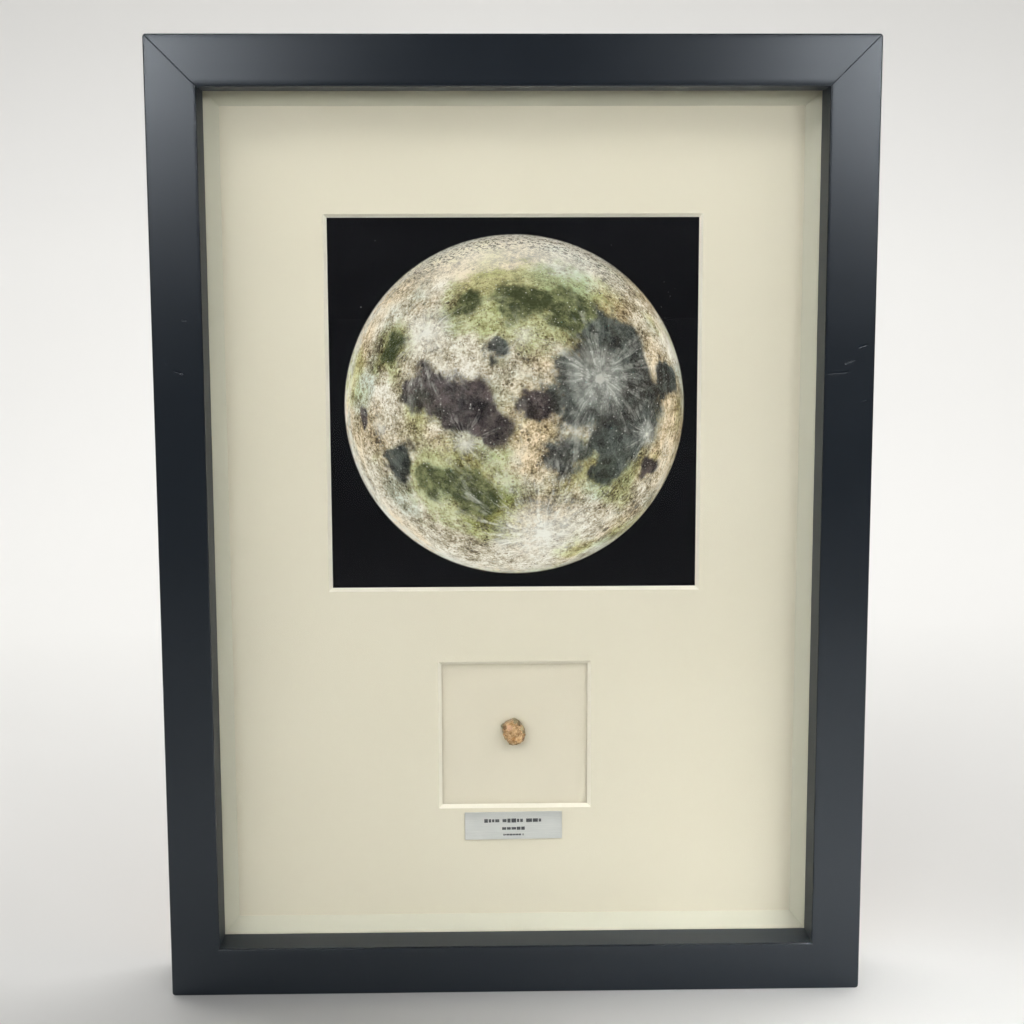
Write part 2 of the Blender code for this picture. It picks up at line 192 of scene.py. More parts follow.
# Dust on the print and the rails: place (x, z) and size, in millimetres
PRINT_DUST = (
    (-52.3, 237.7, 0.32),
    (-47.2, 260.1, 0.20),
    (33.4, 258.5, 0.17),
    (56.5, 250.3, 0.14),
    (51.7, 245.9, 0.13),
    (55.5, 243.9, 0.15),
    (53.1, 242.5, 0.14),
    (53.8, 241.1, 0.18),
    (50.8, 237.4, 0.16),
    (-60.9, 197.9, 0.16),
    (44.6, 145.9, 0.13),
    (-28.9, 142.9, 0.19),
)
RAIL_DUST = (
    (-108.6, 79.7, 0.16),
    (-75.8, 10.4, 0.17),
    (-115.6, 215.4, 0.15),
    (-107.2, 232.2, 0.14),
)
DUST_HALF_DEPTH = 0.00003

# The stone's surface: height of its lumps, and depth of its pits and seams
LUMP_HEIGHT = 0.00013
PIT_DEPTH = 0.00016
SEAM_DEPTH = 0.00016
# Coloured spots of the stone: place across and up from its middle and size, in millimetres
STONE_SPOTS = (
    (-4.0, 1.9, 0.7, srgb(128, 130, 100)),
    (-3.0, 2.0, 0.8, srgb(112, 80, 52)),
    (-1.3, 2.0, 1.1, srgb(214, 172, 140)),
    (0.8, 4.2, 0.9, srgb(128, 126, 98)),
    (2.1, 3.3, 0.7, srgb(98, 84, 52)),
    (3.1, 1.6, 0.7, srgb(190, 178, 134)),
    (3.9, 0.4, 0.7, srgb(120, 112, 78)),
    (1.9, -2.3, 1.25, srgb(232, 196, 148)),
    (1.9, -2.4, 0.55, srgb(204, 160, 104)),
    (0.1, -2.0, 0.8, srgb(172, 124, 70)),
    (3.7, -2.4, 0.7, srgb(126, 100, 82)),
    (-1.2, -4.2, 0.8, srgb(112, 98, 66)),
    (1.5, -4.3, 0.7, srgb(104, 84, 50)),
    (0.1, -4.0, 0.45, srgb(224, 202, 168)),
    (-3.8, 0.3, 0.6, srgb(140, 134, 112)),
    (-2.9, -2.5, 0.8, srgb(156, 138, 98)),
)

# The camera, from a perspective fit to the photo
CAMERA_LENS = 60.816
CAMERA_PLACE = (-0.013476, FRONT_Y - 0.575576, 0.251172)
CAMERA_TURN = (81.9372, 0.1568, -1.2442)


class Wire:
    """A number in a material's node tree. Arithmetic on it adds Math nodes."""

    def __init__(self, graph, socket):
        self.graph = graph
        self.socket = socket

    def __add__(self, other):
        return self.graph.math("ADD", self, other)

    def __sub__(self, other):
        return self.graph.math("SUBTRACT", self, other)

    def __rsub__(self, other):
        return self.graph.math("SUBTRACT", other, self)

    def __mul__(self, other):
        return self.graph.math("MULTIPLY", self, other)

    def __truediv__(self, other):
        return self.graph.math("DIVIDE", self, other)

    def __pow__(self, other):
        return self.graph.math("POWER", self, other)

    __radd__ = __add__
    __rmul__ = __mul__

    def clamp(self):
        return self.graph.math("ADD", self, 0.0, use_clamp=True)

    def high(self, other):
        return self.graph.math("MAXIMUM", self, other)

    def step(self, start, end):
        """0 at the start and 1 at the end, smooth between them."""
        node = self.graph.node("ShaderNodeMapRange", {}, interpolation_type="SMOOTHSTEP")
        for name, value in (("Value", self), ("From Min", start), ("From Max", end)):
            self.graph.feed(node.inputs[name], value)
        return Wire(self.graph, node.outputs[0])


class Graph:
    """One material's node tree, built in short lines."""

    def __init__(self, name, values):
        self.material = bpy.data.materials.new(name)
        self.material.use_nodes = True
        self.tree = self.material.node_tree
        self.shader = self.tree.nodes["Principled BSDF"]
        for socket, value in values.items():
            self.shader.inputs[socket].default_value = value
        self.place = self.node("ShaderNodeTexCoord", {}).outputs["Object"]

    def feed(self, socket, value):
        if isinstance(value, Wire):
            value = value.socket
        if isinstance(value, bpy.types.NodeSocket):
            self.tree.links.new(value, socket)
        elif socket.type == "RGBA":
            socket.default_value = (*value[:3], 1)
        else:
            socket.default_value = value

    def node(self, kind, inputs, **settings):
        made = self.tree.nodes.new(kind)
        for key, value in settings.items():
            setattr(made, key, value)
        for key, value in inputs.items():
            self.feed(made.inputs[key], value)
        return made

    def math(self, operation, first, second=0.0, **settings):
        made = self.node("ShaderNodeMath", {0: first, 1: second}, operation=operation, **settings)
        return Wire(self, made.outputs[0])

    def vector(self, operation, first, second=(0, 0, 0)):
        return self.node("ShaderNodeVectorMath", {0: first, 1: second}, operation=operation).outputs[0]

    def scaled(self, vector, factor):
        node = self.node("ShaderNodeVectorMath", {0: vector, "Scale": factor}, operation="SCALE")
        return node.outputs[0]

    def length(self, vector):
        node = self.node("ShaderNodeVectorMath", {0: vector}, operation="LENGTH")
        return Wire(self, node.outputs["Value"])

    def parts(self, vector):
        outputs = self.node("ShaderNodeSeparateXYZ", {0: vector}).outputs
        return [Wire(self, outputs[axis]) for axis in range(3)]

    def joined(self, x, y, z):
        return self.node("ShaderNodeCombineXYZ", {0: x, 1: y, 2: z}).outputs[0]

    def noise(self, vector, scale, detail=2, roughness=0.5, distortion=0.0):
        values = {
            "Vector": vector,
            "Scale": scale,
            "Detail": detail,
            "Roughness": roughness,
            "Distortion": distortion,
        }
        return Wire(self, self.node("ShaderNodeTexNoise", values).outputs[0])

    def cells(self, vector, scale):
        return self.node("ShaderNodeTexVoronoi", {"Vector": vector, "Scale": scale})

    def mix(self, factor, first, second, blend="MIX"):
        node = self.tree.nodes.new("ShaderNodeMix")
        node.data_type = "RGBA"
        node.blend_type = blend
        self.feed(node.inputs[0], factor)
        self.feed(node.inputs[6], first)
        self.feed(node.inputs[7], second)
        return node.outputs[2]

    def ramp(self, factor, stops):
        node = self.node("ShaderNodeValToRGB", {0: factor})
        elements = node.color_ramp.elements
        while len(elements) < len(stops):
            elements.new(0.5)
        for element, (position, colour) in zip(elements, stops):
            element.position = position
            element.color = (*colour, 1)
        return node.outputs[0]

    def attribute(self, name):
        node = self.node("ShaderNodeAttribute", {}, attribute_name=name)
        return Wire(self, node.outputs["Fac"])

    def colour(self, value):
        self.feed(self.shader.inputs["Base Color"], value)

    def roughness(self, value):
        self.feed(self.shader.inputs["Roughness"], value)

    def bump(self, height, distance, strength=1.0):
        node = self.node(
            "ShaderNodeBump", {"Height": height, "Distance": distance, "Strength": strength}
        )
        self.feed(self.shader.inputs["Normal"], node.outputs[0])


def painted_wood(name, gloss, dark, light):
    """Black satin paint: faint orange peel, dust, and grey where it is scratched through."""
    values = {"Specular IOR Level": 0.8, "Specular Tint": (0.86, 0.93, 1.0, 1)}
    g = Graph(name, values)
    wear = g.attribute("wear")
    cloud = g.noise(g.place, 35, 3)
    peel = g.noise(g.place, 1400, 2)
    dust = g.noise(g.place, 2600, 1).step(0.735, 0.80) * g.noise(g.place, 60, 2).step(0.45, 0.7)
    dusty = g.mix(dust * 0.35, g.mix(cloud, dark, light), srgb(120, 124, 122))
    g.colour(g.mix(wear, dusty, srgb(150, 152, 148)))
    g.roughness(gloss + cloud * 0.06 + wear * 0.2)
    g.bump(peel, 0.00001, 0.5)
    return g.material


def bare_wood():
    """Pale softwood where the moulding has no paint, with its grain along each rail."""
    g = Graph("bare_wood", {})
    node = g.node("ShaderNodeAttribute", {}, attribute_name="grain")
    along = node.outputs["Vector"]
    rings = g.noise(along, 260, 3, 0.6, 0.4)
    pores = g.noise(g.scaled(along, 4.0), 420, 2)
    pale = g.mix(rings, srgb(176, 138, 92), srgb(214, 182, 136))
    g.colour(g.mix(pores.step(0.55, 0.75) * 0.5, pale, srgb(128, 92, 56)))
    g.roughness(0.62 + pores * 0.2)
    g.bump(pores, 0.00006, 0.6)
    return g.material


def paper(name, dark, light):
    """Matt board: a slow drift of tone, fine fibres and a slightly toothed surface."""
    g = Graph(name, {"Specular IOR Level": 0.25})
    drift = g.noise(g.place, 14, 2)
    stretch = g.vector("MULTIPLY", g.place, (1.0, 1.0, 0.35))
    fibre = g.noise(stretch, 2300, 3, 0.6)
    grain = g.noise(g.place, 700, 2)
    g.colour(g.mix(drift * 0.6 + fibre * 0.25 + grain * 0.15, dark, light))
    g.roughness(0.82 + fibre * 0.12)
    g.bump(fibre * 0.6 + grain * 0.4, 0.00003, 0.6)
    return g.material


def fibreboard():
    """Brown pressed fibre with darker and paler flecks."""
    g = Graph("fibreboard", {"Specular IOR Level": 0.3})
    fleck = g.noise(g.place, 1500, 3, 0.65)
    cloud = g.noise(g.place, 40, 3)
    brown = g.mix(cloud, srgb(142, 108, 74), srgb(168, 132, 94))
    dark = g.mix(fleck.step(0.52, 0.72), brown, srgb(104, 76, 50))
    g.colour(g.mix(fleck.step(0.44, 0.30), dark, srgb(194, 160, 120)))
    g.roughness(0.74 + fleck * 0.15)
    g.bump(fleck, 0.00004, 0.7)
    return g.material


def zinc_steel():
    """Zinc plate: bright, a little clouded, with drawn lines."""
    g = Graph("zinc_steel", {"Metallic": 1.0})
    cloud = g.noise(g.place, 420, 3)
    lines = g.noise(g.vector("MULTIPLY", g.place, (0.15, 1.0, 1.0)), 5200, 2)
    g.colour(g.mix(cloud, srgb(168, 172, 178), srgb(206, 208, 208)))
    g.roughness(0.26 + lines * 0.18)
    g.bump(lines, 0.00001, 0.5)
    return g.material


def clear_glass():
    """Plain clear float glass."""
    values = {
        "Base Color": (1, 1, 1, 1),
        "Roughness": 0.0,
        "IOR": 1.45,
        "Transmission Weight": 1.0,
        "Specular Tint": (0.12, 0.12, 0.12, 1),
    }
    return Graph("clear_glass", values).material


def label_metal():
    """Pale silver plate with fine streaks along it, with painted shade that darkens it towards its top
    edge.
    """
    g = Graph("label_metal", {"Metallic": 0.3})
    streak = g.noise(g.vector("MULTIPLY", g.place, (0.05, 1.0, 1.0)), 2400, 3, 0.7)
    cloud = g.noise(g.place, 220, 2)
    height = g.parts(g.place)[2] - LABEL_MIDDLE.z
    silver = g.mix(streak * 0.7 + cloud * 0.3, srgb(194, 197, 192), srgb(231, 233, 227))
    # Painted shade: a darker grey is mixed in towards the plate's top edge.
    g.colour(g.mix(height.step(0.0005, 0.0052) * 0.45, silver, srgb(172, 174, 170)))
    g.roughness(0.42 + streak * 0.2)
    g.bump(streak, 0.00001, 0.6)
    return g.material


def dust_fleck():
    """Pale lint."""
    g = Graph("dust_fleck", {})
    g.colour(g.mix(g.noise(g.place, 4000, 1), srgb(196, 198, 200), srgb(232, 232, 230)))
    g.roughness(0.9 + g.noise(g.place, 5000, 1) * 0.1)
    return g.material


def label_ink():
    """Dark grey print, worn a little thin."""
    g = Graph("label_ink", {})
    g.colour(g.mix(g.noise(g.place, 5200, 2), srgb(52, 54, 56), srgb(92, 94, 94)))
    g.roughness(0.6 + g.noise(g.place, 3000, 1) * 0.2)
    return g.material


def link_piece(name, mesh, slot, *replaced):
    """A piece of the object: it rides on the one body. The record slot it is given is not used."""
    obj = bpy.data.objects.new(name, mesh)
    bpy.context.scene.collection.objects.link(obj)
    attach(obj, "root")
    if replaced:
        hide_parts(*replaced)
    return obj


def finish_node(name, material):
    """Gives a carried-over CAD node its material."""
    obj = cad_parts[name]
    obj.data.materials.clear()
    obj.data.materials.append(material)
    return obj


def arc(centre, radius, start, end, steps):
    """Points on an arc, both ends included. The angles are in degrees."""
    angles = (math.radians(start + (end - start) * i / steps) for i in range(steps + 1))
    return [(centre[0] + radius * math.cos(a), centre[1] + radius * math.sin(a)) for a in angles]


def spread(start, end, step):
    """Evenly spaced values from the start to just short of the end."""
    count = max(1, round((end - start) / step))
    return [start + (end - start) * i / count for i in range(count)]


def loft(name, rings, materials, face_material):
    """A closed mesh through closed rings of points. The ends are filled flat."""
    size = len(rings[0])
    faces = []
    for ring in range(len(rings) - 1):
        low, high = ring * size, (ring + 1) * size
        for i in range(size):
            j = (i + 1) % size
            faces.append((low + i, low + j, high + j, high + i))
    last = (len(rings) - 1) * size
    faces.append(tuple(reversed(range(size))))
    faces.append(tuple(range(last, last + size)))
    mesh = bpy.data.meshes.new(name)
    mesh.from_pydata([point for ring in rings for point in ring], [], faces)
    for material in materials:
        mesh.materials.append(material)
    for index, polygon in enumerate(mesh.polygons):
        polygon.material_index = face_material(index % size) if index < len(faces) - 2 else 0
    bm = bmesh.new()
    bm.from_mesh(mesh)
    bmesh.ops.recalc_face_normals(bm, faces=bm.faces)
    bm.to_mesh(mesh)
    bm.free()
    mesh.shade_smooth()
    mesh.set_sharp_from_angle(angle=SHARP_ANGLE)
    return mesh


def side_frame(side):
    """The outer corner line's middle, the inward direction and the direction along a side."""
    corner, inward = {
        "bottom": ((0, FRONT_Y, 0), (0, 0, 1)),
        "top": ((0, FRONT_Y, FRAME_HEIGHT), (0, 0, -1)),
        "left": ((-HALF_WIDTH, FRONT_Y, MIDDLE_Z), (1, 0, 0)),
        "right": ((HALF_WIDTH, FRONT_Y, MIDDLE_Z), (-1, 0, 0)),
    }[side]
    inward = Vector(inward)
    along = inward.cross(Vector((0, 1, 0)))
    half = HALF_WIDTH if side in ("bottom", "top") else FRAME_HEIGHT / 2
    return Vector(corner), inward, along, half


def rounded_corner(point):
    """Moves a point near a corner of the frame so that the corner is round, seen from the front."""
    across = CORNER_ROUND - (HALF_WIDTH - abs(point.x))
    up = CORNER_ROUND - (MIDDLE_Z - abs(point.z - MIDDLE_Z))
    if across <= 0 or up <= 0:
        return point
    share = max(across, up) / math.hypot(across, up)
    x = math.copysign(HALF_WIDTH - CORNER_ROUND + across * share, point.x)
    z = MIDDLE_Z + math.copysign(MIDDLE_Z - CORNER_ROUND + up * share, point.z - MIDDLE_Z)
    return Vector((x, point.y, z))


def distance_to(start, end, x, z):
    """Distance from a point to a straight mark."""
    along = Vector(end) - Vector(start)
    offset = Vector((x, z)) - Vector(start)
    share = min(max(offset.dot(along) / along.length_squared, 0.0), 1.0)
    return (offset - along * share).length


def mark_at(marks, x, z):
    """Depth below the face and bare share at a point of the front, from every mark near it."""
    depth, wear = 0.0, 0.0
    for start, end, width, deep, bare in marks:
        reach = distance_to(start, end, x, z) / width
        if reach < 4:
            depth += deep * (math.exp(-reach * reach) - 0.35 * math.exp(-((reach - 1.8) ** 2) * 2))
            wear = max(wear, bare * math.exp(-reach * reach * 1.5))
    return depth, wear


def rail_outline(face_points):
    """The moulding's closed outline: distance inwards and depth behind its front face."""
    outer = arc((OUTER_ROUND, OUTER_ROUND), OUTER_ROUND, 180, 270, 8)
    lip = arc((RAIL_WIDTH - LIP_ROUND, LIP_ROUND), LIP_ROUND, 270, 360, 6)
    back = [
        (RAIL_WIDTH, LIP_DEPTH - REBATE_CUT),
        (RAIL_WIDTH - REBATE_CUT, LIP_DEPTH),
        (RAIL_WALL, LIP_DEPTH),
        (RAIL_WALL, RAIL_DEPTH - REBATE_CUT),
        (RAIL_WALL - REBATE_CUT, RAIL_DEPTH),
        (BACK_ROUND, RAIL_DEPTH),
        (BACK_ROUND * 0.3, RAIL_DEPTH - BACK_ROUND * 0.3),
        (0, RAIL_DEPTH - BACK_ROUND),
    ]
    face = [(across, 0.0) for across in face_points]
    return outer + face + lip + back


def end_shares(half, marked):
    """Where the rings stand along a rail, from -1 to 1, closer together at its ends and marks."""
    ends = [distance / half for distance in END_RINGS]
    middle = spread(ends[-1], 1.0, RING_STEP / half)
    upper = [1 - d for d in ends] + [1 - d for d in middle[1:]]
    if marked:
        low, high = MARKS_SPAN
        dense = spread(low, high, MARKS_STEP)
        upper_side = [t for t in upper if not low <= t <= high] + dense
    else:
        upper_side = upper
    return sorted(set([-t for t in upper] + upper_side))


def make_rail(side, materials):
    """One mitred rail. Its attributes say where it is worn and which way the bare wood's grain runs."""
    corner, inward, along, half = side_frame(side)
    marks = {"left": LEFT_MARKS, "right": RIGHT_MARKS}.get(side, ())
    step = FACE_STEP["marked" if marks else "plain"]
    face_points = spread(OUTER_ROUND, RAIL_WIDTH - LIP_ROUND, step)[1:]
    outline = rail_outline(face_points)
    first_bare = next(i for i, (across, deep) in enumerate(outline) if deep == LIP_DEPTH)
    shares = end_shares(half, bool(marks))
    if side == "right":
        shares = [-share for share in reversed(shares)]
    rings, wears, grains = [], [], []
    for share in shares:
        ring = []
        for across, deep in outline:
            top_end = side == "top" or (side in ("left", "right") and share * along.z > 0)
            gap = MITRE_GAP["top" if top_end else "bottom"]
            groove = MITRE_GROOVE if top_end and abs(share) == 1 and deep == 0 else 0.0
            run = share * (half - across - gap)
            point = corner + inward * across + along * run + Vector((0, deep + groove, 0))
            wear = 0.0
            if marks and deep == 0:
                sunk, wear = mark_at(marks, point.x, point.z)
                point.y += max(sunk, 0.0)
            ring.append(rounded_corner(point))
            wears.append(wear)
            grains.append((across, deep, run * GRAIN_STRETCH))
        rings.append(ring)
    name = "painted_rail_" + side
    bare = len(outline) - 2

    def face_material(segment):
        """Dull paint with a lighter colour that paints in light on the lip's inner wall, bare wood in
        the rebate and behind, satin elsewhere.
        """
        if first_bare - 2 <= segment < first_bare:
            return 2
        return 1 if first_bare <= segment < bare else 0

    mesh = loft(name, rings, materials, face_material)
    mesh.attributes.new("wear", "FLOAT", "POINT").data.foreach_set("value", wears)
    flat = [value for grain in grains for value in grain]
    mesh.attributes.new("grain", "FLOAT_VECTOR", "POINT").data.foreach_set("vector", flat)
    return link_piece(name, mesh, "rail_paint", "rail_" + side)


def make_liner(side, material):
    """A strip of board between the glass and the mat, with its sloping face towards the middle."""
    corner, inward, along, half = side_frame(side)
    front = GLASS_HIGH.y - FRONT_Y + LINER_CLEAR_OF_GLASS
    back = MAT_LOW.y - FRONT_Y - LINER_CLEAR_OF_MAT
    inset = LINER_HIGH.x + HALF_WIDTH
    wall = RAIL_WALL + GAP
    slope = (inset - RAIL_WIDTH) / (back - front)
    outline = [
        (wall, front),
        (RAIL_WIDTH - LINER_EDGE, front),
        (RAIL_WIDTH, front + LINER_EDGE * 0.4),
        (RAIL_WIDTH + slope * (back - front) * 0.5, (front + back) / 2),
        (inset, back - LINER_EDGE * 0.3),
        (inset, back),
        (wall, back),
    ]
    rings = []
    for step in range(LINER_RINGS + 1):
        share = -1 + 2 * step / LINER_RINGS
        ring = []
        for across, deep in outline:
            run = share * (half - across - LINER_CLEAR_AT_MITRE)
            point = corner + inward * across + along * run
            bow = noise.noise(point * 60) * LINER_BOW if across > wall else 0.0
            ring.append(point + Vector((0, deep, 0)) + inward * bow)
        rings.append(ring)
    name = "paper_liner_" + side
    mesh = loft(name, rings, [material], lambda segment: 0)
    return link_piece(name, mesh, "liner_paper", "liner_" + side)


def ball_point(across, up):
    """A point of the unit ball that shows at this place of the printed disc."""
    return (across, math.sqrt(1 - across * across - up * up), up)


def moon_ball(g):
    """Coordinates on the unit ball behind the printed disc, and the distance from its middle."""
    x, _, z = g.parts(g.place)
    across = (x - MOON_MIDDLE[0]) / MOON_RADIUS
    up = (z - MOON_MIDDLE[1]) / MOON_RADIUS
    squared = across * across + up * up
    bulge = (1.0 - squared).high(0.0) ** 0.5
    return g.joined(across, bulge, up), across, up, squared**0.5


def sea_pull(g, ball, seas):
    """Adds up how near a point is to the middles of these seas."""
    total = None
    for across, up, size in seas:
        offset = g.scaled(g.vector("SUBTRACT", ball, ball_point(across, up)), 1 / size)
        away = g.length(offset)
        near = (1.0 - away * away * 0.5).clamp()
        total = near * near if total is None else total + near * near
    return total


def ray_crater(g, ball, broken, across, up, size, streaks):
    """Brightness of a young crater: a white core and a fan of streaks that thins outwards."""
    offset = g.vector("SUBTRACT", ball, ball_point(across, up))
    away = g.length(offset) / size
    heading = g.vector("NORMALIZE", offset)
    reach = g.noise(heading, 2.2, 2).step(0.36, 0.64) * 0.65 + 0.4
    streak = g.noise(heading, streaks, 4, 0.75).step(0.45, 0.68)
    fade = (1.0 - away / reach).clamp() ** 0.9
    halo = (1.0 - away * 3.0).clamp() ** 0.8
    core = away.step(0.055, 0.03)
    return (streak * broken * fade * 0.95 + halo * (broken * 0.5 + 0.35) + core * 0.6).clamp()


def crater_rims(g, ball, scale, share):
    """Rims and floors of scattered craters of one size: rim brightness less floor darkness."""
    cell = g.cells(ball, scale)
    distance = Wire(g, cell.outputs["Distance"])
    random_parts = g.parts(cell.outputs["Color"])
    radius = random_parts[0] * 0.26 + 0.12
    away = distance / radius
    rim = away.step(0.72, 0.98) * away.step(1.45, 1.02)
    floor = away.step(0.95, 0.55)
    present = random_parts[1].step(1 - share, 1.02 - share)
    return (rim - floor * 0.8) * present


def rugged_shade(g, ball):
    """Dark crescents on the slopes that face away from the light."""
    shifted = g.vector("ADD", ball, (0.005, 0.0, 0.010))
    slope = g.noise(ball, 46, 3, 0.55) - g.noise(shifted, 46, 3, 0.55)
    return slope.step(0.030, 0.085)


def moon_ground(g, ball, up, reach, fine):
    """The pale ground: cream and tan, with craters and drifts of colour."""
    broad = g.noise(ball, 2.4, 5, 0.6) - 0.5
    patch = g.noise(ball, 13, 6, 0.68) - 0.5
    tone = broad * 0.9 + patch * 0.85 + (fine - 0.5) * 1.0 + 0.57
    tone = tone + crater_rims(g, ball, 9, 0.35) * 0.08
    tone = tone + crater_rims(g, ball, 21, 0.5) * 0.11
    tone = tone + crater_rims(g, ball, 47, 0.6) * 0.15
    ground = g.ramp(tone, HIGHLAND_STOPS)
    warm = g.noise(g.vector("ADD", ball, (3.1, 0.0, 0.0)), 1.7, 3).step(0.42, 0.64)
    green = g.noise(g.vector("ADD", ball, (0.0, 7.3, 0.0)), 2.3, 4).step(0.50, 0.66)
    cool = g.noise(g.vector("ADD", ball, (0.0, 0.0, 5.9)), 2.1, 3).step(0.48, 0.64)
    for share, tint in ((warm * 0.75, WARM_TINT), (green * 0.7, GREEN_TINT), (cool * 0.7, COOL_TINT)):
        ground = g.mix(share, ground, g.mix(1.0, ground, tint, "MULTIPLY"))
    ground = g.mix(up.step(0.60, 0.92) * 0.5, ground, srgb(240, 240, 228))
    polar = up.step(0.50, 0.80) * reach.step(0.87, 0.97)
    return g.mix(rugged_shade(g, ball) * polar * 0.85, ground, srgb(62, 58, 50))


def moon_seas(g, ball, bent, ground, fine):
    """Lays the dark seas over the ground, each in its own ink, with ragged shores."""
    pulls = {name: sea_pull(g, bent, seas) for name, seas in SEAS.items()}
    total = pulls["slate"] + pulls["olive"] + pulls["dusk"] + 0.001
    ragged = (g.noise(ball, 9, 6, 0.72) - 0.5) * 1.5 + (fine - 0.5) * 0.7
    inside = (total * 1.25 + ragged).step(0.12, 0.72)
    around = sea_pull(g, bent, [(a, u, size * 2.0) for a, u, size in SEAS["olive"]])
    mossy = (around + ragged).step(0.15, 0.75) * 0.75
    ground = g.mix(mossy, ground, g.mix(1.0, ground, MOSS_TINT, "MULTIPLY"))
    depth = g.noise(ball, 3.6, 5, 0.7) * 0.5 + g.noise(ball, 15, 4, 0.7) * 0.3 + fine * 0.2
    shade = depth.step(0.44, 0.62)
    slate = g.mix(shade, srgb(14, 20, 24), srgb(90, 98, 93))
    olive = g.mix(shade, srgb(50, 58, 34), srgb(136, 140, 98))
    dusk = g.mix(shade, srgb(20, 17, 26), srgb(92, 82, 82))
    ink = g.mix((pulls["olive"] / total + ragged * 0.3).step(0.35, 0.65), slate, olive)
    ink = g.mix((pulls["dusk"] / total + ragged * 0.3).step(0.35, 0.65), ink, dusk)
    return g.mix(inside * 0.95, ground, ink)


def moon_ink():
    """The print: a generic moon with a layout of its own, in the photo's colours and size."""
    g = Graph("moon_ink", {"Specular IOR Level": 0.05})
    ball, across, up, reach = moon_ball(g)
    fine = g.noise(ball, 64, 4, 0.75)
    broken = g.noise(ball, 18, 3, 0.65).step(0.34, 0.60)
    warp = g.node("ShaderNodeTexNoise", {"Vector": ball, "Scale": 4.5, "Detail": 5.0})
    drift = g.vector("SUBTRACT", warp.outputs[1], (0.5, 0.5, 0.5))
    ground = moon_ground(g, ball, up, reach, fine)
    ground = moon_seas(g, ball, g.vector("ADD", ball, g.scaled(drift, 0.34)), ground, fine)
    wavy = g.vector("ADD", ball, g.scaled(drift, 0.07))
    for across_share, up_share, size, streaks, strength in RAY_CRATERS:
        rays = ray_crater(g, wavy, broken, across_share, up_share, size, streaks)
        ground = g.mix(rays * strength, ground, RAY_COLOUR)
    grain = g.cells(ball, 58)
    dot = Wire(g, grain.outputs["Distance"]).step(0.26, 0.10) * broken
    chosen = g.parts(grain.outputs["Color"])
    ground = g.mix(dot * chosen[0].step(0.70, 0.76) * 0.8, ground, srgb(250, 250, 238))
    ground = g.mix(dot * chosen[1].step(0.94, 0.97) * 0.6, ground, srgb(140, 200, 190))
    ground = g.mix(dot * chosen[2].step(0.80, 0.86) * 0.6, ground, srgb(66, 58, 48))

    edge = reach.step(0.955, 0.985)
    lit_side = (0.45 - across * 0.6 - up * 0.3).clamp()
    ground = g.mix(edge * lit_side * broken * 0.75, ground, srgb(226, 228, 218))
    ground = g.mix(edge * (1.0 - lit_side) * 0.35, ground, srgb(120, 106, 84))
    rough_edge = reach + (g.noise(ball, 40, 3) - 0.5) * 0.006
    sky = g.mix(g.noise(g.place, 30, 2), srgb(8, 9, 12), srgb(12, 13, 16))
    g.colour(g.mix(rough_edge.step(1.003, 0.993), sky, ground))
    g.roughness(0.50 + fine * 0.12)
    return g.material


def make_mat(materials):
    """The mat: one sheet with two bevel-cut windows, whose cut faces show a paler core."""
    moon, stone = WINDOWS
    lows, highs = [], []
    for middle, width, height in (stone, moon):
        lows.append(middle - height / 2)
        highs.append(middle + height / 2)
    x_back = [MAT_LOW.x, -moon[1] / 2, -stone[1] / 2, stone[1] / 2, moon[1] / 2, MAT_HIGH.x]
    z_back = [MAT_LOW.z, lows[0], highs[0], lows[1], highs[1], MAT_HIGH.z]
    bevel = WINDOW_BEVEL
    x_front = [x + s for x, s in zip(x_back, (0, -bevel, -bevel, bevel, bevel, 0))]
    z_front = [z + s for z, s in zip(z_back, (0, -bevel, bevel, -bevel, bevel, 0))]
    open_cells = {(1, 3), (2, 3), (3, 3), (2, 1)}
    bm = bmesh.new()
    sheets = []
    for xs, y, zs in ((x_front, MAT_LOW.y, z_front), (x_back, MAT_HIGH.y, z_back)):
        sheets.append([[bm.verts.new((x, y, z)) for z in zs] for x in xs])
    solid = {(i, k) for i in range(5) for k in range(5)} - open_cells
    for i, k in sorted(solid):
        for sheet in sheets:
            bm.faces.new((sheet[i][k], sheet[i + 1][k], sheet[i + 1][k + 1], sheet[i][k + 1]))
        sides = {
            (i - 1, k): ((i, k), (i, k + 1)),
            (i + 1, k): ((i + 1, k), (i + 1, k + 1)),
            (i, k - 1): ((i, k), (i + 1, k)),
            (i, k + 1): ((i, k + 1), (i + 1, k + 1)),
        }
        for neighbour, ends in sides.items():
            if neighbour in solid:
                continue
            front_edge = [sheets[0][a][b] for a, b in ends]
            back_edge = [sheets[1][a][b] for a, b in reversed(ends)]
            bm.faces.new(front_edge + back_edge).material_index = 1
    bmesh.ops.delete(bm, geom=[v for v in bm.verts if not v.link_faces], context="VERTS")
    bmesh.ops.recalc_face_normals(bm, faces=bm.faces)
    mesh = bpy.data.meshes.new("windowed_mat")
    bm.to_mesh(mesh)
    bm.free()
    for material in materials:
        mesh.materials.append(material)
    return link_piece("windowed_mat", mesh, "mat_paper", "mat_board")


def plate_mesh(name, boxes, edge):
    """Boxes with softened edges in one mesh, each from its middle and its size."""
    bm = bmesh.new()
    for middle, size in boxes:
        matrix = Matrix.Translation(middle) @ Matrix.Diagonal((*size, 1))
        bmesh.ops.create_cube(bm, size=1, matrix=matrix)
    if edge:
        bmesh.ops.bevel(bm, geom=bm.edges[:], offset=edge, segments=2, affect="EDGES", profile=0.5)
    mesh = bpy.data.meshes.new(name)
    bm.to_mesh(mesh)
    bm.free()
    return mesh


